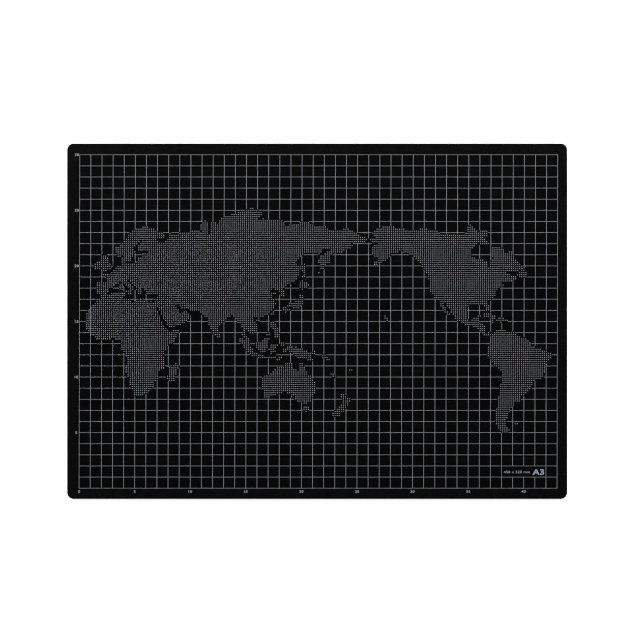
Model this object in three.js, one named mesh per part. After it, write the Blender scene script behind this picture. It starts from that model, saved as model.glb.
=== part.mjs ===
// Desk cutting mat: a bonded stack of five sheets with a centimetre grid printed on the working face.
// Millimetres, +Z up. The origin is the middle of the underside, +X runs along the long side and
// +Y points to the top of the print.

import * as THREE from 'three';

// Outline of the sheets
const matLength = 450;
const matWidth = 320;
const cornerRadius = 6;
const edgeRounding = 0.4;

// Sheets, named from a working face inwards; the stack is the same above and below its core
const cuttingSheetThickness = 0.9;
const stiffenerThickness = 0.3;
const coreThickness = 0.6;

// Printed grid; the print sits a little off the middle of the mat
const gridPitch = 10;
const leastMargin = 8;
const lineWidth = 0.35;
const inkThickness = 0.04;
const printShiftX = 1.1;
const printShiftY = -0.25;

// Window left in the grid for the size mark, in cells counted from the grid's lower right corner
const windowCells = 4;
const windowInset = 1;
const windowRise = 1;

// Facets of a corner and of a rounded edge, for each quarter turn
const cornerFacets = 10;
const roundingFacets = 4;
const quarterTurn = Math.PI / 2;

// The grid has as many whole cells as fit between the margins
const gridColumns = Math.floor((matLength - 2 * leastMargin) / gridPitch);
const gridRows = Math.floor((matWidth - 2 * leastMargin) / gridPitch);
const gridLeft = (-gridColumns * gridPitch) / 2;
const gridLower = (-gridRows * gridPitch) / 2;

// Heights of the faces between the sheets, from the desk up
const lowerStiffenerBase = cuttingSheetThickness;
const coreBase = lowerStiffenerBase + stiffenerThickness;
const upperStiffenerBase = coreBase + coreThickness;
const topSheetBase = upperStiffenerBase + stiffenerThickness;
const matThickness = topSheetBase + cuttingSheetThickness;

const softBlackPvc = { color: 0x111112, roughness: 0.72, metalness: 0 };
const rigidGreyPvc = { color: 0x242526, roughness: 0.5, metalness: 0 };
const coreBlackPvc = { color: 0x18181a, roughness: 0.6, metalness: 0 };
const paleGreyInk = { color: 0x98a1ab, roughness: 0.55, metalness: 0 };

function closedGeometry(points, triangles) {
  const indexed = new THREE.BufferGeometry().setFromPoints(points);
  indexed.setIndex(triangles);
  const geometry = indexed.toNonIndexed();
  geometry.computeVertexNormals();
  return geometry;
}

// Outline of the mat drawn in by an inset, counterclockwise from above
function outlinePoints(inset) {
  const centreX = matLength / 2 - cornerRadius;
  const centreY = matWidth / 2 - cornerRadius;
  const corners = [[1, 1], [-1, 1], [-1, -1], [1, -1]];
  const outline = new THREE.Path();
  corners.forEach(([sideX, sideY], corner) => {
    const start = corner * quarterTurn;
    outline.absarc(sideX * centreX, sideY * centreY, cornerRadius - inset, start, start + quarterTurn);
  });
  return outline.getPoints(cornerFacets / 2);
}

// Insets and heights of a square-cut edge, from the lower face to the upper one
function squareEdge(bottom, top) {
  return [{ inset: 0, height: bottom }, { inset: 0, height: top }];
}

// The same for an edge that is rounded into the upper face
function roundedEdge(bottom, top) {
  const rounding = Math.min(edgeRounding, (top - bottom) / 2);
  const rings = [{ inset: 0, height: bottom }];
  for (let step = 0; step <= roundingFacets; step++) {
    const turn = (step / roundingFacets) * quarterTurn;
    const inset = rounding * (1 - Math.cos(turn));
    rings.push({ inset, height: top - rounding + rounding * Math.sin(turn) });
  }
  return rings;
}

// The rounded edge turned over, for the sheet that lies on the desk
function roundedEdgeBelow(bottom, top) {
  const rings = roundedEdge(bottom, top);
  return rings.map(({ inset, height }) => ({ inset, height: bottom + top - height })).reverse();
}

// A closed sheet lofted through copies of the outline, lowest first
function loftSheet(rings) {
  const loops = rings.map(({ inset, height }) => {
    return outlinePoints(inset).map((point) => new THREE.Vector3(point.x, point.y, height));
  });
  const count = loops[0].length;
  const lastLoop = (loops.length - 1) * count;
  const lowerCentre = loops.length * count;
  const upperCentre = lowerCentre + 1;
  const points = loops.flat();
  points.push(new THREE.Vector3(0, 0, rings[0].height));
  points.push(new THREE.Vector3(0, 0, rings[rings.length - 1].height));

  const triangles = [];
  for (let i = 0; i < count; i++) {
    const next = (i + 1) % count;
    for (let loop = 0; loop < lastLoop; loop += count) {
      const above = loop + count;
      triangles.push(loop + i, loop + next, above + next);
      triangles.push(loop + i, above + next, above + i);
    }
    triangles.push(lowerCentre, next, i);
    triangles.push(upperCentre, lastLoop + i, lastLoop + next);
  }
  return closedGeometry(points, triangles);
}

// A film of ink on the tiles between neighbouring cuts, where inked says which tiles are printed
function printedFilm(xCuts, yCuts, inked) {
  const points = [];
  for (const height of [0, inkThickness]) {
    for (const y of yCuts) {
      xCuts.forEach((x) => points.push(new THREE.Vector3(x, y, height)));
    }
  }
  const lower = (i, j) => j * xCuts.length + i;
  const upper = (i, j) => lower(i, j) + xCuts.length * yCuts.length;
  const isInked = (i, j) => {
    const inside = i >= 0 && j >= 0 && i < xCuts.length - 1 && j < yCuts.length - 1;
    return inside && inked(i, j);
  };

  const triangles = [];
  const addQuad = (a, b, c, d) => triangles.push(a, b, c, a, c, d);
  const addWall = (i0, j0, i1, j1) => addQuad(lower(i0, j0), lower(i1, j1), upper(i1, j1), upper(i0, j0));
  for (let j = 0; j < yCuts.length - 1; j++) {
    for (let i = 0; i < xCuts.length - 1; i++) {
      if (!isInked(i, j)) continue;
      addQuad(upper(i, j), upper(i + 1, j), upper(i + 1, j + 1), upper(i, j + 1));
      addQuad(lower(i, j), lower(i, j + 1), lower(i + 1, j + 1), lower(i + 1, j));
      if (!isInked(i, j - 1)) addWall(i, j, i + 1, j);
      if (!isInked(i + 1, j)) addWall(i + 1, j, i + 1, j + 1);
      if (!isInked(i, j + 1)) addWall(i + 1, j + 1, i, j + 1);
      if (!isInked(i - 1, j)) addWall(i, j + 1, i, j);
    }
  }
  return closedGeometry(points, triangles);
}

// Both edges of each printed line, so that every second tile between the cuts is a line
function lineEdges(places) {
  return places.flatMap((place) => [place - lineWidth / 2, place + lineWidth / 2]);
}

function linePlaces(first, cells) {
  return Array.from({ length: cells + 1 }, (_, line) => first + line * gridPitch);
}

// Lines along the mat, held together by the grid's two end lines
function lengthwiseGrid() {
  const xCuts = lineEdges([gridLeft, -gridLeft]);
  const yCuts = lineEdges(linePlaces(gridLower, gridRows));
  return printedFilm(xCuts, yCuts, (i, j) => i % 2 === 0 || j % 2 === 0);
}

// Lines across the mat, held together by the grid's lower and upper lines and broken at the window
function crosswiseGrid() {
  const windowEnd = gridColumns - windowInset;
  const windowStart = windowEnd - windowCells;
  const windowLower = gridLower + windowRise * gridPitch + lineWidth / 2;
  const windowUpper = windowLower + gridPitch - lineWidth;
  const [lowerEdge, aboveLower, belowUpper, upperEdge] = lineEdges([gridLower, -gridLower]);
  const xCuts = lineEdges(linePlaces(gridLeft, gridColumns));
  const yCuts = [lowerEdge, aboveLower, windowLower, windowUpper, belowUpper, upperEdge];
  const lastBand = yCuts.length - 2;
  const windowBand = yCuts.indexOf(windowLower);

  return printedFilm(xCuts, yCuts, (i, j) => {
    if (j === 0 || j === lastBand) return true;
    const line = i / 2;
    const broken = j === windowBand && line > windowStart && line < windowEnd;
    return Number.isInteger(line) && !broken;
  });
}

function addPiece(group, name, geometry, finish) {
  const mesh = new THREE.Mesh(geometry, new THREE.MeshStandardMaterial(finish));
  mesh.name = name;
  group.add(mesh);
  return mesh;
}

// The bonded sheets, from the desk up; each starts on the face where the one under it ends
const mat = new THREE.Group();
const bottomEdge = roundedEdgeBelow(0, lowerStiffenerBase);
const topEdge = roundedEdge(topSheetBase, matThickness);
addPiece(mat, 'bottom_cutting_sheet', loftSheet(bottomEdge), softBlackPvc);
addPiece(mat, 'lower_stiffener_sheet', loftSheet(squareEdge(lowerStiffenerBase, coreBase)), rigidGreyPvc);
addPiece(mat, 'centre_core', loftSheet(squareEdge(coreBase, upperStiffenerBase)), coreBlackPvc);
addPiece(mat, 'upper_stiffener_sheet', loftSheet(squareEdge(upperStiffenerBase, topSheetBase)), rigidGreyPvc);
addPiece(mat, 'top_cutting_sheet', loftSheet(topEdge), softBlackPvc);

// The print, in two passes of ink on the top sheet
const print = new THREE.Group();
print.position.set(printShiftX, printShiftY, matThickness);
mat.add(print);
addPiece(print, 'lengthwise_grid_print', lengthwiseGrid(), paleGreyInk);
const secondPass = addPiece(print, 'crosswise_grid_print', crosswiseGrid(), paleGreyInk);
secondPass.position.z = inkThickness;

export default mat;
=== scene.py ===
import math
import random

import bmesh
import bpy
import numpy as np
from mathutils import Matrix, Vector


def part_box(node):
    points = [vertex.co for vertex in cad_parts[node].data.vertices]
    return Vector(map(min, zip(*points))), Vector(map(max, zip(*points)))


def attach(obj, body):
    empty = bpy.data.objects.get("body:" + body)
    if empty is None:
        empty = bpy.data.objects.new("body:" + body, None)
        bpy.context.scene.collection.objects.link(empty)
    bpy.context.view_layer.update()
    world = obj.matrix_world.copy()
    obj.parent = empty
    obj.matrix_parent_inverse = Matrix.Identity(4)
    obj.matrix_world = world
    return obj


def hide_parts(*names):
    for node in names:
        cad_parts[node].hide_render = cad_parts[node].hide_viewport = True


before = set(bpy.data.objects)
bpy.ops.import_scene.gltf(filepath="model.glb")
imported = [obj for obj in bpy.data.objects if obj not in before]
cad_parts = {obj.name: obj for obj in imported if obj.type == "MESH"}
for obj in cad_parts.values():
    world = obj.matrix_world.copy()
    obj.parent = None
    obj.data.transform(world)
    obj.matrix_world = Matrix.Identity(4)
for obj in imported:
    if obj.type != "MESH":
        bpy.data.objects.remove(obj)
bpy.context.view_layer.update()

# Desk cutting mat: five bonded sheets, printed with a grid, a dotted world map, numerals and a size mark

mm = 0.001               # everything below is worked out in millimetres and built in metres
scene = bpy.context.scene
print("frame loaded:", ", ".join(sorted(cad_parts)))


# Small helpers

def boxInMm(node):
    low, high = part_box(node)
    return [value / mm for value in low], [value / mm for value in high]


def makePiece(name, points, faces, material, smooth=False):
    mesh = bpy.data.meshes.new(name)
    mesh.from_pydata([[value * mm for value in point] for point in points], [], faces)
    mesh.validate()
    mesh.polygons.foreach_set("use_smooth", [smooth] * len(mesh.polygons))
    mesh.materials.append(material)
    piece = bpy.data.objects.new(name, mesh)
    scene.collection.objects.link(piece)
    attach(piece, "root")
    return piece


def newMaterial(name):
    material = bpy.data.materials.new(name)
    material.use_nodes = True
    return material, material.node_tree, material.node_tree.nodes["Principled BSDF"]


def feed(tree, socket, value):
    # a socket takes a link from another node, or a fixed number or colour
    if isinstance(value, bpy.types.NodeSocket):
        tree.links.new(value, socket)
    elif socket.type == "RGBA":
        socket.default_value = (*value, 1.0)
    else:
        socket.default_value = value


def addNode(tree, kind, settings=None, **inputs):
    node = tree.nodes.new(kind)
    for key, value in (settings or {}).items():
        setattr(node, key, value)
    for key, value in inputs.items():
        feed(tree, node.inputs[key.replace("_", " ")], value)
    return node


def placeInObject(tree, scale=(1, 1, 1), turn=0.0):
    where = addNode(tree, "ShaderNodeTexCoord")
    stretch = addNode(tree, "ShaderNodeMapping", Vector=where.outputs["Object"],
                      Scale=scale, Rotation=(0, 0, math.radians(turn)))
    return stretch.outputs["Vector"]


def noise(tree, place, size, detail=2.0, roughness=0.5):
    node = addNode(tree, "ShaderNodeTexNoise", Vector=place, Scale=1 / (size * mm),
                   Detail=detail, Roughness=roughness)
    return node.outputs["Fac"]


noiseSpan = (0.3, 0.7)     # nearly all of a noise lies between these


def remap(tree, value, span=noiseSpan, to=(0.0, 1.0)):
    node = addNode(tree, "ShaderNodeMapRange", Value=value, From_Min=span[0], From_Max=span[1],
                   To_Min=to[0], To_Max=to[1])
    return node.outputs["Result"]


def maths(tree, operation, first, second):
    node = addNode(tree, "ShaderNodeMath", {"operation": operation})
    feed(tree, node.inputs[0], first)
    feed(tree, node.inputs[1], second)
    return node.outputs["Value"]


def mixColour(tree, amount, first, second):
    node = addNode(tree, "ShaderNodeMix", {"data_type": "RGBA"})
    colourSockets = [socket for socket in node.inputs if socket.type == "RGBA"]
    for socket, value in zip((node.inputs[0], *colourSockets), (amount, first, second)):
        feed(tree, socket, value)
    return [socket for socket in node.outputs if socket.type == "RGBA"][0]


def flecks(tree, place, spacing, size, share, channel):
    # small round flecks, in some of the cells of a scatter
    scatter = addNode(tree, "ShaderNodeTexVoronoi", Vector=place, Scale=1 / (spacing * mm))
    chosen = addNode(tree, "ShaderNodeSeparateColor", Color=scatter.outputs["Color"])
    inCell = remap(tree, scatter.outputs["Distance"], size)
    here = maths(tree, "LESS_THAN", chosen.outputs[channel], share)
    return maths(tree, "MULTIPLY", inCell, here)


def finishSurface(tree, shader, colour, texture, roughness, depth, shine):
    # one fine texture gives the finish its uneven gloss and its relief
    relief = addNode(tree, "ShaderNodeBump", Height=texture, Distance=depth * mm, Strength=1.0)
    tree.links.new(colour, shader.inputs["Base Color"])
    tree.links.new(remap(tree, texture, to=roughness), shader.inputs["Roughness"])
    tree.links.new(relief.outputs["Normal"], shader.inputs["Normal"])
    shader.inputs["Specular IOR Level"].default_value = shine


# Camera straight above the mat, framed as in the photograph

photoFrame = {
    "pixels": 640,             # width and height of the picture
    "pixelsPerMm": 1.1115,     # scale of the printed face in the picture
    "matMiddleX": 317.18,      # where the middle of the mat falls, in pixels from the upper left
    "matMiddleY": 321.2,
    "lens": 85.0,              # long lens on a 36 mm sensor, so the sides stay hidden
    "sensor": 36.0,
    "clipEnd": 100.0,          # metres
}
matHigh = boxInMm("top_cutting_sheet")[1]      # the mat lies centred on the frame's axis
matTop = matHigh[2]


def addCamera():
    view = photoFrame
    frameWidth = view["pixels"] / view["pixelsPerMm"]
    data = bpy.data.cameras.new("photo_camera")
    data.lens = view["lens"]
    data.sensor_width = view["sensor"]
    data.clip_end = view["clipEnd"]
    camera = bpy.data.objects.new("photo_camera", data)
    middle = view["pixels"] / 2
    camera.location.x = (middle - view["matMiddleX"]) / view["pixelsPerMm"] * mm
    camera.location.y = (view["matMiddleY"] - middle) / view["pixelsPerMm"] * mm
    camera.location.z = (matTop + frameWidth * view["lens"] / view["sensor"]) * mm
    scene.collection.objects.link(camera)
    scene.camera = camera


addCamera()
print("camera set above the mat")


# Studio: pale floor, four low softboxes and a dim room

studio = {
    "floorSize": 24.0,                   # metres
    "floorColour": (0.93, 0.93, 0.93),
    "floorShade": 0.985,                 # its darker patches, as a share of that colour
    "floorPatch": 900.0,                 # mm
    "floorRoughness": 0.95,
    "floorGlow": 0.82,                   # the floor is a light table, which washes out the shadow
    "floorDrop": 0.02,                   # mm under the mat, so the two faces never share a plane
    "roomLight": 0.03,
    "boxSize": (1.7, 0.9),               # metres
    "boxDistance": 1.9,                  # from the mat's middle, along the floor
    "boxHeight": 1.1,
    "boxTurn": {"back": 0, "left": 60, "front": 180, "right": 300},      # degrees round the mat
    "boxPower": {"back": 70.0, "left": 18.0, "front": 3.0, "right": 14.0},
}


def addFloor():
    material, tree, shader = newMaterial("pale_floor")
    patches = noise(tree, placeInObject(tree), studio["floorPatch"], detail=3)
    shade = [value * studio["floorShade"] for value in studio["floorColour"]]
    tint = mixColour(tree, remap(tree, patches), shade, studio["floorColour"])
    tree.links.new(tint, shader.inputs["Base Color"])
    shader.inputs["Roughness"].default_value = studio["floorRoughness"]
    shader.inputs["Specular IOR Level"].default_value = 0.0
    shader.inputs["Emission Color"].default_value = (1, 1, 1, 1)
    shader.inputs["Emission Strength"].default_value = studio["floorGlow"]
    half = studio["floorSize"] / 2
    corners = [(-half, -half, 0), (half, -half, 0), (half, half, 0), (-half, half, 0)]
    mesh = bpy.data.meshes.new("floor")
    mesh.from_pydata(corners, [], [(0, 1, 2, 3)])
    mesh.materials.append(material)
    floor = bpy.data.objects.new("floor", mesh)
    floor.location.z = -studio["floorDrop"] * mm
    scene.collection.objects.link(floor)


def addSoftbox(name):
    data = bpy.data.lights.new("softbox_" + name, "AREA")
    data.shape = "RECTANGLE"
    data.size, data.size_y = studio["boxSize"]
    data.energy = studio["boxPower"][name]
    lamp = bpy.data.objects.new("softbox_" + name, data)
    angle = math.radians(studio["boxTurn"][name])
    lamp.location.x = -math.sin(angle) * studio["boxDistance"]
    lamp.location.y = math.cos(angle) * studio["boxDistance"]
    lamp.location.z = studio["boxHeight"]
    tilt = math.atan2(studio["boxDistance"], studio["boxHeight"])
    lamp.rotation_euler = (-tilt, 0, angle)
    scene.collection.objects.link(lamp)


def lightRoom():
    world = bpy.data.worlds.new("dim_room")
    world.use_nodes = True
    world.node_tree.nodes["Background"].inputs["Color"].default_value = (1, 1, 1, 1)
    world.node_tree.nodes["Background"].inputs["Strength"].default_value = studio["roomLight"]
    scene.world = world
    scene.view_settings.view_transform = "Standard"
    scene.view_settings.look = "None"
    scene.cycles.filter_width = 1.2      # crisp enough for the fine print


addFloor()
for boxName in studio["boxTurn"]:
    addSoftbox(boxName)
lightRoom()
print("studio lit")


# Finishes

softPvc = {
    "black": (0.0014, 0.0014, 0.0015),
    "lighterBlack": (0.0024, 0.0024, 0.0025),
    "sheenAndRub": (0.012, 0.012, 0.0125),     # painted sheen and rubbing wear, along the rounded edge and the bare margin
    "dust": (0.16, 0.16, 0.17),
    "scuff": (0.011, 0.011, 0.012),
    "mottleSize": 26.0,                   # mm, as the other sizes
    "mottleSpan": (0.32, 0.68),           # the part of the noise that turns dark into pale
    "scuffTurns": (24, -52),              # degrees
    "scuffWidth": 0.5,
    "scuffStretch": 0.012,                # width of a scuff as a share of its length
    "scuffSpan": (0.71, 0.76),
    "scuffPatch": 70.0,                   # scuffs keep to patches of about this size
    "scuffPatchSpan": (0.5, 0.62),
    "speckSpacing": 4.2,
    "speckSize": (0.035, 0.02),           # outer and inner radius, as shares of the spacing
    "speckShare": 0.16,                   # share of the cells that hold a speck
    # the painted sheen and wear of the edge come in patches of about this size
    "sheenRubPatch": 3.5,
    "grainSize": 0.32,
    "grainDepth": 0.02,
    "roughness": (0.58, 0.74),
    "shine": 0.022,
}


def softPvcFinish():
    look = softPvc
    material, tree, shader = newMaterial("matte_black_pvc")
    place = placeInObject(tree)
    mottle = noise(tree, place, look["mottleSize"], detail=4, roughness=0.6)
    colour = mixColour(tree, remap(tree, mottle, look["mottleSpan"]), look["black"], look["lighterBlack"])

    # hairline scuffs in two directions, kept to patches
    patch = remap(tree, noise(tree, place, look["scuffPatch"], detail=1), look["scuffPatchSpan"])
    for turn in look["scuffTurns"]:
        lengthened = placeInObject(tree, (look["scuffStretch"], 1, 1), turn)
        streak = noise(tree, lengthened, look["scuffWidth"], detail=1)
        hairline = maths(tree, "MULTIPLY", remap(tree, streak, look["scuffSpan"]), patch)
        colour = mixColour(tree, hairline, colour, look["scuff"])

    dust = flecks(tree, place, look["speckSpacing"], look["speckSize"], look["speckShare"], "Red")
    colour = mixColour(tree, dust, colour, look["dust"])

    # the rounded edge and the bare margin are painted paler in patches: rubbing wear on the edge, and a
    # painted sheen on both
    edge = addNode(tree, "ShaderNodeAttribute", {"attribute_name": "edgeSheenAndWear"})
    patchy = remap(tree, noise(tree, place, look["sheenRubPatch"], detail=3))
    sheenRubMask = maths(tree, "MULTIPLY", edge.outputs["Fac"], patchy)
    colour = mixColour(tree, sheenRubMask, colour, look["sheenAndRub"])

    grain = noise(tree, place, look["grainSize"], detail=3, roughness=0.6)
    finishSurface(tree, shader, colour, grain, look["roughness"], look["grainDepth"], look["shine"])
    return material


cutPvc = {
    "stiffener": {"dark": (0.010, 0.010, 0.011), "pale": (0.026, 0.027, 0.028), "roughness": (0.38, 0.58)},
    "core": {"dark": (0.004, 0.004, 0.0045), "pale": (0.010, 0.010, 0.011), "roughness": (0.5, 0.68)},
    "strokeWidth": 0.35,                  # mm, marks of the blade that cut the sheet
    "strokeLength": 6.0,
    "strokeDepth": 0.015,
    "shine": 0.12,
}


def cutPvcFinish(ply):
    look = cutPvc[ply]
    material, tree, shader = newMaterial(ply + "_pvc")
    stretch = cutPvc["strokeWidth"] / cutPvc["strokeLength"]
    strokes = noise(tree, placeInObject(tree, (1, 1, stretch)), cutPvc["strokeWidth"], detail=3)
    tint = mixColour(tree, remap(tree, strokes), look["dark"], look["pale"])
    finishSurface(tree, shader, tint, strokes, look["roughness"], cutPvc["strokeDepth"], cutPvc["shine"])
    return material


paleInk = {
    "grid": {"full": (0.340, 0.372, 0.411), "thin": (0.288, 0.315, 0.351)},    # full, and where it ran thin
    "map": {"full": (0.376, 0.382, 0.417), "thin": (0.318, 0.323, 0.353)},
    "mark": {"full": (0.278, 0.338, 0.402), "thin": (0.234, 0.286, 0.343)},
    "pinhole": (0.03, 0.032, 0.036),
    "densitySize": 18.0,                  # mm
    "pinholeSpacing": 0.45,
    "pinholeSize": (0.16, 0.1),           # outer and inner radius, as shares of the spacing
    "pinholeShare": 0.06,
    "roughness": (0.48, 0.66),
    "toothSize": 0.12,
    "toothDepth": 0.004,
    "shine": 0.2,
}


def inkFinish(use):
    look = paleInk
    material, tree, shader = newMaterial(use + "_ink")
    place = placeInObject(tree)
    density = remap(tree, noise(tree, place, look["densitySize"], detail=5, roughness=0.65))
    colour = mixColour(tree, density, look[use]["thin"], look[use]["full"])
    pinholes = flecks(tree, place, look["pinholeSpacing"], look["pinholeSize"],
                      look["pinholeShare"], "Green")
    colour = mixColour(tree, pinholes, colour, look["pinhole"])
    tooth = noise(tree, place, look["toothSize"])
    finishSurface(tree, shader, colour, tooth, look["roughness"], look["toothDepth"], look["shine"])
    return material


blackPvc = softPvcFinish()
stiffenerPvc = cutPvcFinish("stiffener")
corePvc = cutPvcFinish("core")
gridInk = inkFinish("grid")
mapInk = inkFinish("map")
markInk = inkFinish("mark")
print("finishes ready")


# The five bonded sheets, with their die-cut edge

sheets = {
    "cornerRadius": 6.0,       # mm
    "edgeRounding": 0.4,
    "roundingSteps": 7,
    "cornerSteps": 24,
    "sideStep": 5.0,           # spacing of the points along a straight side
    "seamRings": ((0.06, 0.0, 0.0), (0.024, 0.036, 0.0), (0.008, 0.132, 0.1)),    # inset, rise, and share of rubbing wear and painted sheen
    "edgeSheenAndWear": (0.35, 1.0),   # painted sheen and wear, at the ends of the rounding and at its middle
    "marginSheen": 0.2,         # painted sheen: the bare margin is painted a touch paler
    "marginStart": 0.5,        # from the rounding inwards
    "stiffenerInset": 0.05,    # the inner sheets are cut a hair shorter than the soft ones bulge
    "coreInset": 0.02,
    "nick": 0.03,              # the blade breaks their edges by this much
}


def sheetGrid():
    spanX = matHigh[0] - sheets["cornerRadius"]
    spanY = matHigh[1] - sheets["cornerRadius"]
    xs = np.linspace(-spanX, spanX, round(2 * spanX / sheets["sideStep"]) + 1)
    ys = np.linspace(-spanY, spanY, round(2 * spanY / sheets["sideStep"]) + 1)
    return xs, ys


def outlineRing(xs, ys, inset):
    # points round the mat, each with the place in the face's grid that it joins to
    right, top = len(xs) - 1, len(ys) - 1
    reach = sheets["cornerRadius"] - inset
    ring = []

    def corner(i, j, start):
        for step in range(1, sheets["cornerSteps"]):
            turn = math.radians(start + 90 * step / sheets["cornerSteps"])
            ring.append((xs[i] + reach * math.cos(turn), ys[j] + reach * math.sin(turn), i, j))

    ring += [(xs[right] + reach, y, right, j) for j, y in enumerate(ys)]
    corner(right, top, 0)
    ring += [(xs[i], ys[top] + reach, i, top) for i in range(right, -1, -1)]
    corner(0, top, 90)
    ring += [(xs[0] - reach, ys[j], 0, j) for j in range(top, -1, -1)]
    corner(0, 0, 180)
    ring += [(x, ys[0] - reach, i, 0) for i, x in enumerate(xs)]
    corner(right, 0, 270)
    return ring


def loftSheet(name, profile, material, node):
    # profile: (inset, height, share of rubbing wear and painted sheen) of each ring, from the lower face to
    # the upper one
    xs, ys = sheetGrid()
    points = []
    sheenAndWear = []
    for inset, height, sheenAndRub in profile:
        ring = outlineRing(xs, ys, inset)
        points += [(x, y, height) for x, y, i, j in ring]
        sheenAndWear += [sheenAndRub] * len(ring)
    count = len(ring)
    faces = []
    for level in range(len(profile) - 1):
        for here in range(count):
            after = (here + 1) % count
            low, high = level * count, (level + 1) * count
            faces.append((low + here, low + after, high + after, high + here))

    def closeFace(ringStart, ringSheenAndWear, height, up):
        gridStart = len(points)
        points.extend((x, y, height) for y in ys for x in xs)
        outerX, outerY = (xs[0], xs[-1]), (ys[0], ys[-1])
        sheenAndWear.extend(ringSheenAndWear if x in outerX or y in outerY else 0.0 for y in ys for x in xs)
        inner = [gridStart + j * len(xs) + i for x, y, i, j in ring]
        cap = []
        for here in range(count):
            after = (here + 1) % count
            cap.append((ringStart + here, ringStart + after, inner[after], inner[here]))
        for j in range(len(ys) - 1):
            for i in range(len(xs) - 1):
                start = gridStart + j * len(xs) + i
                cap.append((start, start + 1, start + 1 + len(xs), start + len(xs)))
        for face in cap:
            face = tuple(dict.fromkeys(face))     # a corner's faces meet in one point
            faces.append(face if up else face[::-1])

    closeFace(0, profile[0][2], profile[0][1], False)
    closeFace((len(profile) - 1) * count, profile[-1][2], profile[-1][1], True)
    piece = makePiece(name, points, faces, material, smooth=True)
    # each point carries its share of the paler edge colour: rubbing wear and painted sheen
    attribute = piece.data.attributes.new("edgeSheenAndWear", "FLOAT", "POINT")
    attribute.data.foreach_set("value", sheenAndWear)
    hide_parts(node)


def softSheetProfile(bottom, top):
    # a soft sheet draws in at the seam, bulges a touch and rounds into its outer face
    rounding = sheets["edgeRounding"]
    # the paler edge colour, painted sheen and rubbing wear, is strongest at the middle of the rounding
    leastSheenAndWear, mostSheenAndWear = sheets["edgeSheenAndWear"]
    profile = [(inset, bottom + rise, sheenAndRub) for inset, rise, sheenAndRub in sheets["seamRings"]]
    for step in range(sheets["roundingSteps"] + 1):
        turn = math.pi / 2 * step / sheets["roundingSteps"]
        inset = rounding * (1 - math.cos(turn))
        sheenAndRub = leastSheenAndWear + (mostSheenAndWear - leastSheenAndWear) * math.sin(2 * turn)
        profile.append((inset, top - rounding + rounding * math.sin(turn), sheenAndRub))
    profile.append((rounding + sheets["marginStart"], top, sheets["marginSheen"]))
    return profile


def addSheets():
    low, high = boxInMm("top_cutting_sheet")
    upward = softSheetProfile(low[2], high[2])
    loftSheet("top_sheet", upward, blackPvc, "top_cutting_sheet")

    low, high = boxInMm("bottom_cutting_sheet")
    downward = [(inset, low[2] + high[2] - height, sheenAndRub)
                for inset, height, sheenAndRub in reversed(softSheetProfile(low[2], high[2]))]
    loftSheet("bottom_sheet", downward, blackPvc, "bottom_cutting_sheet")

    nick = sheets["nick"]
    inner = (("upper_stiffener", "upper_stiffener_sheet", stiffenerPvc, "stiffener"),
             ("core_sheet", "centre_core", corePvc, "core"),
             ("lower_stiffener", "lower_stiffener_sheet", stiffenerPvc, "stiffener"))
    for name, node, material, slot in inner:
        low, high = boxInMm(node)
        inset = sheets[slot + "Inset"]
        profile = [(inset + nick, low[2], 0.0), (inset, low[2] + nick, 0.0),
                   (inset, high[2] - nick, 0.0), (inset + nick, high[2], 0.0)]
        loftSheet(name, profile, material, node)


addSheets()
print("five sheets lofted")


# The print: where it lies on the top sheet

printLayout = {
    "pitch": 10.0,             # mm between grid lines
    "lineWidth": 0.35,         # of the solids' grid, whose box gives the place of the first line
    "lean": 0.0022,            # the print runs a hair out of square
    "sunk": 0.008,             # ink bites into the sheet
    "height": 0.03,            # and stands this far above it
    "secondPass": 0.005,       # crosswise lines lie this much higher
}
gridLow, gridHigh = boxInMm("lengthwise_grid_print")
gridLeft = gridLow[0] + printLayout["lineWidth"] / 2
gridLower = gridLow[1] + printLayout["lineWidth"] / 2
gridColumns = round((gridHigh[0] - gridLow[0] - printLayout["lineWidth"]) / printLayout["pitch"])
gridRows = round((gridHigh[1] - gridLow[1] - printLayout["lineWidth"]) / printLayout["pitch"])
gridLength = gridColumns * printLayout["pitch"]
gridHeight = gridRows * printLayout["pitch"]


def onMat(x, y, z):
    # from millimetres right of and above the grid's lower left corner to the mat
    leanX = printLayout["lean"] * (y - gridHeight / 2)
    return (gridLeft + x + leanX, gridLower + y, z)


# The dotted map of the world

worldMap = {
    "degree": 1.221,           # mm for each degree along the equator
    "greenwich": 26.9,         # mm from the grid's left line
    "equator": 128.0,          # mm above the grid's lower line
    "westEdge": -25.0,         # the map starts here and runs east
    "dotPitch": 1.8626,        # mm
    "firstDot": (1.155, 0.235),
    "dotWidth": 0.78,
    "dotTaper": 0.05,          # the ink's edge slopes by this much
    "dotSides": 12,
    "squeeze": 0.82,           # 1 would let the far north grow as tall as it does on a sea chart
    "shoreReach": 0.55,        # a dot is printed where land comes this near
    "islandReach": 0.95,       # islands are drawn fatter, so that the small ones show
    "islandSpan": 30.0,        # mm, the widest land that counts as an island
    "shoreProbes": 8,
    "shift": {"australia": (-1.2, -0.9)},     # degrees, how far the print sets a land off its place
}
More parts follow.
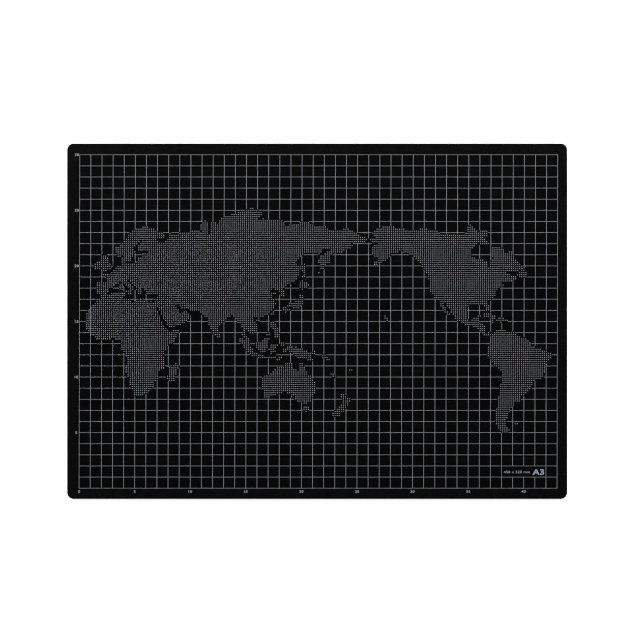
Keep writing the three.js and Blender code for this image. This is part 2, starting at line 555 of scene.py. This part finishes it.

# coasts in degrees east and north, drawn from capes, ports and bays;
# some straits are widened, islands are fatter and Japan lies lower, as on the print
coasts = {
    "africa": [
        [(-5.9, 35.8), (-2.9, 35.3), (-0.6, 35.8), (3, 36.9), (9.9, 37.3), (11, 37), (10.1, 33.9),
         (13.2, 32.9), (15.2, 32.4), (16.6, 31.2), (19.2, 30.3), (20, 32), (22.7, 32.8), (24, 32),
         (29, 31), (31.8, 31.5), (32.5, 29.9), (33.8, 27.2), (35.5, 23.9), (37.3, 20.5), (37.7, 18.4),
         (39.4, 15.4), (42.2, 12.8), (42.8, 11.3), (45, 10.2), (51.2, 11.7), (51.1, 10.3), (49.9, 8),
         (48, 4.4), (45.3, 2), (42.5, -0.4), (41, -2.3), (39.6, -4.5), (39.4, -7), (40.6, -10.7),
         (40.8, -14.8), (37, -18), (34.9, -19.8), (35.5, -23.9), (32.8, -26), (32.3, -28.6), (31, -30.2),
         (28, -33), (25.7, -34), (20, -34.8), (18.4, -34.2), (17.9, -32.6), (16.9, -29.3), (15.1, -26.6),
         (14.4, -22.7), (12, -18.4), (12.1, -15.2), (13.6, -12.3), (13.2, -8.8), (12.2, -5.8),
         (10.6, -3.4), (8.8, -0.7), (9.8, 1.5), (9.5, 4), (8.3, 4.6), (6, 4.3), (4.8, 6), (3, 6.4),
         (1, 5.9), (-2, 4.7), (-4, 5.2), (-7.6, 4.4), (-10.8, 6.3), (-13.3, 8.6), (-15, 10.9),
         (-16.8, 12.4), (-17.5, 14.7), (-16.3, 17), (-16.4, 19.5), (-17.1, 20.9), (-15.9, 23.7),
         (-14.5, 26.1), (-12.9, 27.9), (-10.2, 29.4), (-9.7, 31), (-9.2, 32.5), (-6.8, 34)],
        [(49.3, -12), (50.4, -15.6), (49.5, -17.5), (48.7, -20.2), (47.1, -24.9), (45.2, -25.6),
         (43.7, -23.6), (43.4, -22), (44.4, -19.9), (44.2, -16.4), (46.3, -15.7), (48, -14)],
    ],
    "eurasia": [
        [(-9, 37), (-6.4, 36.7), (-5.4, 36), (-2.3, 36.8), (0.2, 38.7), (-0.3, 39.6), (2.2, 41.4),
         (3.3, 42.4), (4.2, 43.5), (6.5, 43.1), (8.9, 44.4), (10.3, 43.4), (12.2, 41.7), (15.6, 40),
         (16, 38), (17.1, 39.1), (17, 40.5), (18.4, 39.9), (16.1, 41.8), (13.6, 43.6), (12.3, 45.3),
         (13.8, 45.6), (15.2, 44.1), (18.6, 42.4), (19.4, 40.6), (21.2, 38.4), (21.7, 36.8), (23.2, 36.5),
         (24, 37.7), (22.9, 39.6), (23.2, 40.5), (26, 40.8), (26.3, 39.4), (27.4, 37), (30.6, 36.8),
         (32.8, 36), (34.6, 36.7), (36.1, 36.5), (35.5, 33.9), (34.3, 31.4), (32.4, 31.2), (32.7, 29.8),
         (34.2, 27.8), (35, 29.5), (36.5, 26.2), (38.3, 23.8), (39.2, 21), (41, 19.1), (42.6, 16.6),
         (43.7, 13.6), (45, 13.4), (49.1, 14.7), (52.2, 15.8), (54.5, 17.1), (57.8, 18.9), (59.6, 22.2),
         (57.8, 23.2), (55.7, 24.8), (54.5, 24), (51.6, 24.1), (51.3, 25.8), (50, 26.4), (48.2, 29.2),
         (48.6, 30), (50.6, 29.3), (52.4, 28), (54.9, 27.1), (57, 27.4), (58.4, 26.3), (62.3, 25.5),
         (66.7, 25), (68.2, 23.6), (70.3, 22.9), (69, 22.2), (71, 20.8), (72.4, 21.6), (72.8, 18.9),
         (73.8, 15.4), (74.9, 12.7), (76.3, 9.7), (77.6, 8.1), (79.3, 9.3), (80.3, 13.1), (80.6, 15.6),
         (83.3, 17.7), (86.5, 20.2), (88.1, 21.6), (91, 22.5), (92.2, 20.8), (94.3, 18.4), (94.3, 16),
         (97, 17), (97.9, 14.8), (98.6, 12), (98.3, 8), (100.3, 5.6), (101.3, 2.9), (103.6, 1.3),
         (103.4, 4), (102.2, 6.2), (100.6, 7.2), (99.3, 9.3), (99.9, 12.1), (100.5, 13.5), (101.4, 12.6),
         (103.5, 10.7), (104.8, 8.6), (107, 10.3), (109.2, 11.9), (109.2, 13.8), (107.8, 16.5),
         (105.8, 18.8), (106.8, 20.7), (108.8, 21.6), (110.2, 20.3), (111, 21.5), (114.2, 22.3),
         (116.8, 23.3), (119.6, 25.8), (121.8, 28.8), (121.9, 31), (120.7, 33.3), (119.3, 34.9),
         (120.4, 36.1), (122.7, 37.3), (119.5, 37.3), (117.7, 38.9), (119.6, 39.9), (121.2, 40.9),
         (121.6, 39), (124.3, 39.9), (125.1, 38.4), (126.6, 37.3), (126.3, 34.6), (129.1, 35.2),
         (129.5, 36.6), (127.5, 39.3), (129.8, 41.6), (132, 43.2), (135.3, 44.2), (138.4, 46.6),
         (139.9, 49.6), (140.4, 53), (137.4, 53.8), (135.3, 54.5), (138.2, 56.5), (143.2, 59.4),
         (150.8, 59.5), (155, 59.3), (156.7, 61.5), (160.3, 61.9), (163.6, 62.5), (162.9, 60.9),
         (158.8, 59.3), (155.6, 58), (154.3, 55.6), (155.2, 52.8), (156.7, 50.9), (158.5, 52.9),
         (160, 54.3), (162, 54.8), (162.6, 56.5), (163.2, 59), (166, 60), (170.3, 60), (174, 61.8),
         (179.2, 62.4), (177.5, 64.7), (186.6, 64.4), (190.3, 66.1), (185.3, 67), (180.5, 68.9),
         (176, 69.9), (170.3, 69.8), (162, 69.6), (159.3, 70.8), (152, 71), (149.5, 72.1), (140.3, 72.7),
         (139.2, 71.5), (132.5, 71.6), (129.4, 71), (127, 73.5), (123, 73.3), (118.5, 73.2),
         (113.4, 73.8), (107, 73.1), (113.2, 75.8), (104.3, 77.6), (98.5, 76.4), (87, 75), (81, 73.6),
         (80.5, 72.2), (77.7, 72.3), (74.7, 72.6), (73.9, 67.6), (72.8, 67.8), (72.7, 72.8), (69.5, 73.1),
         (66.8, 70.9), (68.5, 68.5), (64.8, 69.3), (60.5, 69.8), (59.4, 68.5), (54.4, 68.4), (47, 67.7),
         (43.6, 68.5), (44, 66.1), (40.5, 64.7), (38, 64), (34.8, 64.8), (32.6, 67), (38.4, 66.1),
         (41.1, 66.8), (40, 67.8), (33.5, 69.4), (31, 70.3), (25.8, 71.1), (19, 69.8), (14.3, 67.8),
         (12, 65.4), (9.8, 63.9), (5.3, 62.3), (5.1, 59.5), (7, 58), (10.6, 59.3), (12.7, 56),
         (14.3, 55.5), (16.4, 56.8), (17.1, 58.7), (18.9, 59.8), (17.3, 60.9), (17.6, 62.5), (21, 64.3),
         (22.2, 65.7), (25.3, 65.1), (21.4, 63), (21.4, 61), (23, 60.4), (29.9, 60.6), (28.6, 59.2),
         (23.5, 58.7), (24.1, 57.2), (21.5, 57.4), (21, 55.4), (18.8, 54.5), (14.2, 53.9), (10.6, 54.3),
         (10.5, 57.6), (8.4, 57.1), (8.5, 54.8), (8.8, 53.6), (5.8, 52.3), (4.5, 50.7), (2.6, 49.7),
         (0.7, 48.9), (-1.2, 48.7), (-1.6, 48.2), (-4.4, 48), (-2.3, 47.2), (-1.2, 45.9), (-1.6, 43.5),
         (-8.2, 43.7), (-9.2, 43), (-8.8, 41), (-9.5, 38.8)],
        [(-5.2, 50.7), (-3.4, 50.9), (0.8, 51.7), (1.2, 52.8), (0, 53.4), (-1.5, 55), (-2, 57.6),
         (-3.1, 58.5), (-5, 58.6), (-6.2, 57), (-5, 54.9), (-3.1, 54.2), (-4.5, 53.2), (-4.2, 52.3),
         (-5.3, 51.9), (-3, 51.5)],
        [(-6.2, 52.2), (-5.6, 54.6), (-7.4, 55.4), (-10, 54.2), (-10.4, 52), (-9.5, 51.5)],
        [(9.4, 43), (9.7, 39.2), (8.5, 39), (8.3, 40.9), (8.6, 42.4)],
        [(12.4, 38.1), (15.6, 38.2), (15.1, 36.7), (13.4, 37.2)],
        [(79.9, 9.7), (81.8, 7.5), (80.6, 5.9), (79.8, 7.2)],
        [(128.7, 27), (130, 27.2), (130.6, 26.4), (130, 24.9), (129.1, 24.7)],
        [(131.9, 26.2), (133.3, 26.5), (133.4, 25.9), (132.3, 25.4)],
        [(131.9, 29.2), (134.6, 29.9), (136.6, 30.4), (138.6, 31.6), (139.8, 33.2), (140.3, 35.2),
         (141.8, 35.3), (142.5, 33.6), (142, 31), (141.2, 29.2), (139, 27.7), (136.6, 27.5),
         (135.4, 28.2), (131.9, 28.4)],
        [(141.2, 44.2), (142.6, 44.3), (144.8, 42.8), (147.6, 41.8), (144.6, 40.7), (142.3, 40.9),
         (141.7, 38.8), (140.8, 41)],
        [(143, 54.3), (143.9, 52.3), (144.4, 49.3), (143.6, 47.2), (143.9, 46.4), (142.8, 46.3), (143, 49),
         (142.8, 52)],
        [(151, 46.8), (152.2, 47.4), (151.6, 46.7)],
        [(154, 49.2), (155, 49.7), (154.6, 49)],
        [(120.6, 25.2), (121.1, 24.8), (120.1, 21.8), (119.3, 23)],
        [(108.7, 19.3), (110.6, 20.1), (111, 19.5), (109.6, 18.2)],
    ],
    "islands": [
        [(95.3, 5.6), (97.6, 5.1), (100.2, 2.7), (103.5, -0.7), (106, -3), (105.8, -5.8), (104.4, -5.8),
         (102.2, -3.9), (100.4, -1.1), (98.7, 1.6)],
        [(105.2, -6.8), (106.1, -5.9), (110.9, -6.4), (114.5, -7.7), (114.4, -8.7), (110, -8)],
        [(115.1, -8.2), (122.8, -8.2), (120, -8.9), (116, -8.9)],
        [(123.6, -10.3), (125.2, -8.6), (127.2, -8.4), (125, -9.7)],
        [(108.3, 1.3), (111, 2.2), (112.8, 3), (114.6, 4.4), (116.3, 5.8), (117.3, 4.6), (116.4, 2.6),
         (117, 1), (116.2, 0.1), (115.4, -2), (115.2, -3.6), (114, -3.8), (111.6, -3.3), (110, -2.5),
         (108.5, -0.6)],
        [(119.2, 0.6), (120.2, 1.1), (123.8, 1.2), (123.4, 0.5), (120, 0.3), (120.2, -1.2), (122.4, -1),
         (120.8, -2.2), (121.8, -4.4), (120.6, -4.6), (120.2, -3), (119.6, -5.5), (118.8, -5.4),
         (118.4, -2.7)],
        [(127.4, 2.1), (128.7, 1.3), (128.1, -0.7), (127.5, 0.2)],
        [(127.8, -3.1), (129.5, -2.7), (130.8, -3.6), (128.3, -3.6)],
        [(119, 17.2), (121.2, 17.2), (122, 15), (124, 12.7), (121, 12.7), (119, 14.2)],
        [(121.6, 11.4), (123.8, 11.6), (124, 10.4), (122.6, 9.9)],
        [(121.6, 7.3), (124.5, 9.1), (125.3, 7.5), (124.8, 6), (123.4, 6.8)],
        [(115.6, 7.4), (117.4, 9.7), (117.8, 9.1), (116.3, 7.5)],
        [(131, -0.8), (134.1, -0.8), (135, -3.3), (137.8, -1.5), (141, -2.6), (144.6, -3.9), (147.7, -6),
         (148, -8.4), (150.8, -10.3), (147, -9.5), (144.2, -7.8), (142.8, -9.2), (138.6, -8.2),
         (138.5, -6.8), (135.4, -4.4), (132.8, -4)],
        [(148.4, -5.7), (152, -4.3), (152.1, -5.2), (150.2, -6.3)],
        [(156.6, -6.7), (160.9, -8.6), (162.3, -10.7), (159.6, -9.6)],
        [(163.8, -20), (167, -22.2), (166, -22.6)],
        [(177.3, -17.8), (179.8, -16.3), (178.6, -18.2)],
        [(-158.2, 21.5), (-156.1, 20.7), (-157.9, 21.2)],
        [(-156.1, 20.3), (-154.8, 19.5), (-155.8, 18.8)],
    ],
    "australia": [
        [(113.6, -22.6), (114.1, -21.8), (117, -20.7), (120, -19.9), (122.2, -18), (123.6, -17),
         (125.2, -14.7), (127, -13.9), (128.4, -14.9), (129.7, -14.9), (130.8, -12.4), (132.5, -11.2),
         (136.8, -12.2), (135.6, -14.9), (139.3, -17.4), (140.9, -17.5), (141.7, -13), (142.5, -10.7),
         (143.7, -14.2), (145.4, -15.2), (146.3, -18.9), (149.2, -21.1), (150.8, -23.4), (153.1, -25),
         (153.6, -28.6), (152.7, -31.8), (151.1, -34.2), (150, -37.4), (146.4, -38.7), (143.5, -38.5),
         (140.5, -38), (138.7, -35.7), (137.9, -35), (137.8, -32.8), (135.8, -34.9), (134.1, -32.8),
         (131.1, -31.5), (128.5, -31.8), (124, -33), (123.4, -33.9), (120, -33.9), (118, -35.1),
         (115.1, -34.4), (115.7, -31.9), (114.5, -28.8), (113.3, -26)],
        [(144.9, -41.4), (148.4, -41.4), (148.1, -42.6), (146.9, -43.6), (145.4, -42.8)],
        [(172.4, -33.4), (174.6, -33.6), (175.6, -35.8), (178.9, -36.6), (177.6, -38.8), (175.9, -41),
         (174.3, -41), (174.2, -39.5), (173.2, -38.7), (173.8, -36.8)],
        [(172.4, -39.8), (174.9, -41), (173.6, -43.4), (171.8, -44.4), (171.2, -45.6), (168.5, -46.4),
         (166.1, -45.7), (167.9, -43.4), (170.8, -41.6)],
    ],
    "north_america": [
        [(-168.1, 65.6), (-163, 66.6), (-166.7, 68.4), (-162.5, 70), (-156.6, 71.3), (-149, 70.5),
         (-141, 69.7), (-136, 69), (-131, 69.9), (-128, 70.5), (-124.2, 69.4), (-121, 69.8),
         (-115.2, 67.9), (-108.5, 68), (-102, 67.9), (-97, 68.2), (-96, 70.6), (-94.6, 71.9),
         (-92.2, 70.2), (-88, 68.5), (-85.5, 69.7), (-82, 69.6), (-81.4, 67.9), (-86.1, 66.5),
         (-87.5, 64.9), (-90.8, 63.5), (-94.2, 61), (-94.5, 58.8), (-92.5, 57.1), (-87.8, 56.4),
         (-82.3, 55.2), (-82.2, 52.9), (-80.2, 51.3), (-78.9, 52), (-79, 54.4), (-76.7, 57),
         (-78.3, 58.8), (-77.7, 62.5), (-73.6, 62.4), (-69.6, 61), (-69.2, 58.9), (-66, 58.9),
         (-64.5, 60.4), (-61.8, 57), (-59.5, 55.1), (-57, 53.8), (-55.7, 52.2), (-60, 50.2),
         (-66.5, 50.2), (-69.4, 48.3), (-64.4, 49), (-64.9, 47), (-60.1, 46.6), (-61.2, 45.3),
         (-63.6, 44.6), (-65.8, 43.5), (-66.2, 44.4), (-67, 44.9), (-70.2, 43.6), (-70.8, 42.4),
         (-70, 41.6), (-73.9, 40.6), (-75.2, 38), (-75.6, 35.2), (-77.9, 33.9), (-81, 31.9),
         (-81.3, 29.7), (-80.1, 26.9), (-80.5, 25.2), (-81.9, 26.2), (-82.8, 28), (-84, 30),
         (-87.5, 30.4), (-89.4, 30.2), (-89.2, 29.1), (-91.5, 29.4), (-94.7, 29.4), (-97.2, 27.7),
         (-97.7, 24.5), (-97.8, 22.3), (-96.2, 19.2), (-94.4, 18.2), (-91.7, 18.6), (-90.4, 21),
         (-86.9, 21.4), (-88, 18.3), (-88.7, 15.9), (-85.8, 15.9), (-83.2, 15), (-83.7, 11.3),
         (-82.2, 9.1), (-79.9, 9.4), (-77.4, 8.7), (-78, 7.3), (-80.2, 7.4), (-83, 8.3), (-85.8, 10.1),
         (-87.6, 12.9), (-92, 14.4), (-94.7, 16.2), (-96.5, 15.7), (-101.7, 17.7), (-105.6, 20.3),
         (-105.4, 22), (-108.2, 25.2), (-110.2, 27.6), (-112.6, 30.9), (-114.6, 31.9), (-113.6, 28.5),
         (-111.1, 25.2), (-109.4, 23), (-110.3, 22.9), (-112.3, 24.6), (-115.1, 27.9), (-117.3, 32.8),
         (-120.6, 34.6), (-122.5, 37.6), (-124.3, 40.4), (-124.2, 44), (-124.6, 48.3), (-127.8, 51),
         (-130.3, 54.3), (-133.6, 57.2), (-136.7, 58.3), (-140, 59.7), (-146, 60.6), (-149.2, 59.9),
         (-151.8, 59.2), (-151, 61), (-153.6, 58.6), (-156.6, 56.4), (-160, 54.6), (-164.8, 53.6),
         (-165, 54.6), (-162.4, 55.6), (-161.6, 57), (-164.6, 58.2), (-166, 59.6),
         (-166.4, 61.6), (-164.9, 62.9), (-161, 64), (-161.4, 64.6), (-166, 64.5)],
        [(-86.6, 64), (-80.6, 63.6), (-84.4, 65.7), (-86, 65.6)],
        [(-59.2, 47.6), (-55.7, 51.6), (-53, 48.6), (-52.9, 46.9), (-55.7, 46.9)],
        [(-84.9, 21.9), (-82.4, 23.1), (-79.5, 22.8), (-74.2, 20.3), (-77.6, 19.9), (-77.9, 20.8),
         (-81.8, 22.2)],
        [(-74.4, 18.4), (-72.8, 19.9), (-69.9, 19.8), (-68.4, 18.5), (-71.2, 17.7)],
        [(-78.3, 18.4), (-76.3, 18.1), (-77.2, 17.8)],
        [(-67.2, 18.4), (-65.7, 18.3), (-66.5, 18)],
    ],
    "south_america": [
        [(-77.4, 8.7), (-75.6, 10.5), (-74.2, 11.3), (-71.5, 12.4), (-71.4, 11), (-70, 12.1),
         (-67.8, 10.6), (-64, 10.5), (-62, 10.7), (-60.9, 8.9), (-57.3, 6.1), (-54, 5.8), (-51.6, 4.2),
         (-50, 1.6), (-48.4, -0.7), (-44.3, -2.5), (-41.6, -2.9), (-38.5, -3.7), (-35.3, -5.2),
         (-34.8, -8), (-37, -11), (-38.9, -13.6), (-39.3, -17.9), (-41, -21.9), (-42, -23), (-46.3, -24),
         (-48.5, -25.9), (-48.6, -28.3), (-50.3, -30.3), (-52.3, -32.6), (-54.9, -35), (-58.3, -34.2),
         (-56.8, -36.4), (-57.7, -38.2), (-62, -39), (-62.4, -40.9), (-65, -41), (-63.7, -42.5),
         (-65.4, -44.8), (-67.5, -46.1), (-65.8, -47.7), (-67.6, -49.3), (-69.1, -51.2), (-68.4, -52.4),
         (-64.8, -55.5), (-68, -56.8), (-72.2, -54.8), (-74.3, -52), (-75.4, -50), (-75.5, -46.6),
         (-73.8, -42.5), (-73.4, -39.6), (-73.2, -37), (-71.6, -33), (-71.4, -29.8), (-70.4, -23.7),
         (-70.3, -18.4), (-72, -17), (-76.2, -13.9), (-77.2, -12), (-79.6, -7.6), (-81.2, -5.6),
         (-81.2, -4.4), (-80, -3), (-80.9, -1.6), (-80, 0.7), (-78.8, 1.7), (-77.2, 3.9), (-77.9, 7.2)],
        [(-61.1, -51.7), (-58, -51.4), (-59.2, -52.3)],
    ],
}


def mapPlace(east, north):
    # a cylindrical projection that keeps the far north from growing too tall
    if east < worldMap["westEdge"]:
        east += 360
    squeeze = worldMap["squeeze"]
    stretched = math.degrees(math.log(math.tan(math.radians(45 + squeeze * north / 2)))) / squeeze
    x = worldMap["greenwich"] + worldMap["degree"] * east
    return x, worldMap["equator"] + worldMap["degree"] * stretched


def shoreShifts(corners):
    # the places round a dot that are tried for land
    span = max(x for x, y in corners) - min(x for x, y in corners)
    reach = worldMap["islandReach" if span < worldMap["islandSpan"] else "shoreReach"]
    turns = [math.tau * probe / worldMap["shoreProbes"] for probe in range(worldMap["shoreProbes"])]
    return [(0, 0)] + [(reach * math.cos(turn), reach * math.sin(turn)) for turn in turns]


def insideCoast(corners, xs, ys):
    # each stretch of coast to the right of a place turns it from sea to land or back
    inside = np.zeros(xs.shape, bool)
    for (x0, y0), (x1, y1) in zip(corners, corners[1:] + corners[:1]):
        if y0 == y1:
            continue
        crosses = (ys > y0) != (ys > y1)
        inside ^= crosses & (xs < x0 + (ys - y0) * (x1 - x0) / (y1 - y0))
    return inside


def findLandDots():
    pitch = worldMap["dotPitch"]
    firstX, firstY = worldMap["firstDot"]
    columns = np.arange(firstX, gridLength, pitch)
    rows = np.arange(firstY, gridHeight, pitch)
    xs, ys = np.meshgrid(columns, rows)
    taken = np.zeros(xs.shape, bool)
    dots = {}
    for land, coastList in coasts.items():
        found = np.zeros(xs.shape, bool)
        eastward, northward = worldMap["shift"].get(land, (0, 0))
        for coast in coastList:
            corners = [mapPlace(east + eastward, north + northward) for east, north in coast]
            for shiftX, shiftY in shoreShifts(corners):
                found |= insideCoast(corners, xs + shiftX, ys + shiftY)
        found &= ~taken
        taken |= found
        dots[land] = list(zip(xs[found], ys[found]))
    return dots


landDots = findLandDots()
dotPlaces = np.array([dot for dots in landDots.values() for dot in dots])
print("map dots:", {land: len(dots) for land, dots in landDots.items()})


def addMapDots(land, dots):
    # each dot is a low closed button of ink with a sloping edge
    sides = worldMap["dotSides"]
    half = worldMap["dotWidth"] / 2
    rims = ((half, matTop - printLayout["sunk"]),
            (half - worldMap["dotTaper"], matTop + printLayout["height"]))
    points, faces = [], []
    for x, y in dots:
        start = len(points)
        for radius, height in rims:
            for side in range(sides):
                turn = math.tau * side / sides
                points.append(onMat(x + radius * math.cos(turn), y + radius * math.sin(turn), height))
        lower = list(range(start, start + sides))
        upper = list(range(start + sides, start + 2 * sides))
        faces.append(lower[::-1])
        faces.append(upper)
        for side in range(sides):
            after = (side + 1) % sides
            faces.append((lower[side], lower[after], upper[after], upper[side]))
    makePiece("map_dots_" + land, points, faces, mapInk)


for land, dots in landDots.items():
    addMapDots(land, dots)


# Grid lines, broken at the map and at the size mark

gridLines = {
    "crosswiseWidth": 0.32,    # mm
    "lengthwiseWidth": 0.274,
    "clearance": 1.38,         # mm kept clear round the middle of a map dot
    "channel": 3.8,            # no line runs where land lies this near on both of its sides
    "shortest": 4.6,           # shorter remnants aren't printed
    "probe": 0.2,              # spacing of the tests along a line
    "station": 3.0,            # spacing of the points along a line's edge
    "ragged": 0.012,           # how far the edge wanders
    "taper": 0.04,             # and how far it slopes in
    "lengthwiseSeed": 11,
    "crosswiseSeed": 12,
    "wholeCrosswise": (0, 1, 43),     # these run unbroken past the map
    "window": {"start": 38, "end": 42, "row": 1},   # columns and row of the size mark
}


def probePlaces(length):
    reach = printLayout["lineWidth"] / 2
    return np.arange(-reach, length + reach, gridLines["probe"])


def clearOfMap(places, across, along):
    # where a line is free: no dot touches it, and it doesn't run up a narrow water
    first, second = (0, 1) if along == "x" else (1, 0)
    near = dotPlaces[np.abs(dotPlaces[:, second] - across) < gridLines["channel"]]
    aside = near[:, second] - across
    onward = near[:, first] - places[:, None]      # a row for each place along the line
    touched = (onward ** 2 + aside ** 2 <= gridLines["clearance"] ** 2).any(axis=1)
    level = np.abs(onward) < worldMap["dotPitch"] / 2
    narrow = (level & (aside > 0)).any(axis=1) & (level & (aside < 0)).any(axis=1)
    return ~(touched | narrow)


def runsOf(places, clear):
    # the free stretches of a line that are long enough to print
    runs = []
    start = None
    for index, free in enumerate(clear):
        if free and start is None:
            start = index
        if start is not None and (not free or index == len(clear) - 1):
            end = index if free else index - 1
            if places[end] - places[start] >= gridLines["shortest"]:
                runs.append((places[start], places[end]))
            start = None
    return runs


def addStrip(points, faces, along, start, end, across, top, rng):
    # one run of ink: a low bar with sloping sides, whose edges wander a little
    half = gridLines["lengthwiseWidth" if along == "x" else "crosswiseWidth"] / 2
    taper = gridLines["taper"]
    lowest = matTop - printLayout["sunk"]
    steps = max(2, round((end - start) / gridLines["station"]))
    sections = []
    for step in range(steps + 1):
        place = start + (end - start) * step / steps
        section = []
        left = half + rng.uniform(-1, 1) * gridLines["ragged"]
        right = half + rng.uniform(-1, 1) * gridLines["ragged"]
        inward = taper * ((step == 0) - (step == steps))       # the ends of the run slope as well
        for side, height, shift in ((-left, lowest, 0.0), (right, lowest, 0.0),
                                    (right - taper, top, inward), (taper - left, top, inward)):
            spot = (place + shift, across + side) if along == "x" else (across - side, place + shift)
            section.append(len(points))
            points.append(onMat(*spot, height))
        sections.append(section)
    faces.append(tuple(sections[0][::-1]))
    faces.append(tuple(sections[-1]))
    for before, after in zip(sections, sections[1:]):
        for corner in range(4):
            nextCorner = (corner + 1) % 4
            faces.append((before[corner], before[nextCorner], after[nextCorner], after[corner]))


def addLengthwiseLines():
    rng = random.Random(gridLines["lengthwiseSeed"])
    top = matTop + printLayout["height"]
    points, faces = [], []
    places = probePlaces(gridLength)
    for row in range(gridRows + 1):
        across = row * printLayout["pitch"]
        clear = clearOfMap(places, across, "x")
        for start, end in runsOf(places, clear):
            addStrip(points, faces, "x", start, end, across, top, rng)
    piece = makePiece("lengthwise_lines", points, faces, gridInk)
    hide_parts("lengthwise_grid_print")


def addCrosswiseLines():
    rng = random.Random(gridLines["crosswiseSeed"])
    top = matTop + printLayout["height"] + printLayout["secondPass"]
    points, faces = [], []
    window = gridLines["window"]
    places = probePlaces(gridHeight)
    for column in range(gridColumns + 1):
        across = column * printLayout["pitch"]
        clear = clearOfMap(places, across, "y")
        if column in gridLines["wholeCrosswise"]:
            clear[:] = True
        if window["start"] < column < window["end"]:
            windowLower = window["row"] * printLayout["pitch"]
            clear &= (places < windowLower) | (places > windowLower + printLayout["pitch"])
        for start, end in runsOf(places, clear):
            addStrip(points, faces, "y", start, end, across, top, rng)
    piece = makePiece("crosswise_lines", points, faces, gridInk)
    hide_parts("crosswise_grid_print")


addLengthwiseLines()
addCrosswiseLines()
print("grid lines printed")


# Numerals and the size mark, in Blender's own font

lettering = {
    "every": 5,                # a numeral at each fifth line
    "numeralHeight": 2.3,      # mm
    "numeralWeight": 0.012,    # how much the strokes are thickened, as a share of the type size
    "numeralStretch": 1.15,    # the type is set this much wider than it is drawn
    "spacing": 1.1,            # and the letters this much further apart
    "curveSteps": 6,           # points between those of the font's curves
    "weld": 1e-5,              # points nearer than this share of the type size are one
    "belowGrid": 3.0,          # from the lower line to the middle of a numeral
    "leftOfGrid": 2.6,         # from the left line to the middle of a numeral
    "markText": "A3",
    "markHeight": 5.2,
    "markWeight": 0.034,
    "markStretch": 1.25,
    "markRight": 418.3,        # right end of the mark, in mm from the left line
    "markBase": 12.0,          # and its foot above the lower line
    "sizeText": "450 x 320 mm",
    "sizeHeight": 2.2,
    "sizeWeight": 0.008,
    "sizeStretch": 1.2,
    "sizeLeft": 382.0,
    "sizeBase": 13.5,
}


def wordMesh(text, height, weight, stretch):
    curve = bpy.data.curves.new("word", "FONT")
    curve.body = text
    curve.size = 1.0
    curve.offset = weight
    curve.extrude = 0.5        # only parts the upper points from the lower, addWord sets their heights
    curve.space_character = lettering["spacing"]
    curve.resolution_u = lettering["curveSteps"]
    word = bpy.data.objects.new("word", curve)
    scene.collection.objects.link(word)
    bpy.context.view_layer.update()
    mesh = bpy.data.meshes.new_from_object(word.evaluated_get(bpy.context.evaluated_depsgraph_get()))
    bpy.data.objects.remove(word)
    shape = bmesh.new()
    shape.from_mesh(mesh)
    bmesh.ops.remove_doubles(shape, verts=shape.verts, dist=lettering["weld"])
    bmesh.ops.recalc_face_normals(shape, faces=shape.faces)
    shape.verts.ensure_lookup_table()
    places = np.array([vertex.co for vertex in shape.verts])
    faces = [[vertex.index for vertex in face.verts] for face in shape.faces]
    shape.free()
    bpy.data.meshes.remove(mesh)
    low, high = places.min(0), places.max(0)
    scale = height / (high[1] - low[1])
    flat = (places[:, :2] - low[:2]) * (scale * stretch, scale)
    return flat, places[:, 2] > 0, faces, (high[0] - low[0]) * scale * stretch


def addWord(points, faces, text, use, base, left=None, right=None, middle=None):
    height, weight, stretch = [lettering[use + part] for part in ("Height", "Weight", "Stretch")]
    flat, upper, wordFaces, width = wordMesh(text, height, weight, stretch)
    if right is not None:
        left = right - width
    if middle is not None:
        left = middle - width / 2
    start = len(points)
    for (x, y), isUpper in zip(flat, upper):
        level = matTop + (printLayout["height"] if isUpper else -printLayout["sunk"])
        points.append(onMat(left + x, base + y, level))
    faces += [[start + corner for corner in face] for face in wordFaces]


def addNumerals():
    look = lettering
    points, faces = [], []
    half = look["numeralHeight"] / 2
    for column in range(0, gridColumns, look["every"]):
        addWord(points, faces, str(column), "numeral",
                middle=column * printLayout["pitch"], base=-look["belowGrid"] - half)
    for row in range(look["every"], gridRows + 1, look["every"]):
        addWord(points, faces, str(row), "numeral",
                middle=-look["leftOfGrid"], base=row * printLayout["pitch"] - half)
    makePiece("scale_numerals", points, faces, gridInk)


def addSizeMark():
    look = lettering
    points, faces = [], []
    addWord(points, faces, look["markText"], "mark", right=look["markRight"], base=look["markBase"])
    addWord(points, faces, look["sizeText"], "size", left=look["sizeLeft"], base=look["sizeBase"])
    makePiece("size_mark", points, faces, markInk)


addNumerals()
addSizeMark()
print("numerals and size mark printed")
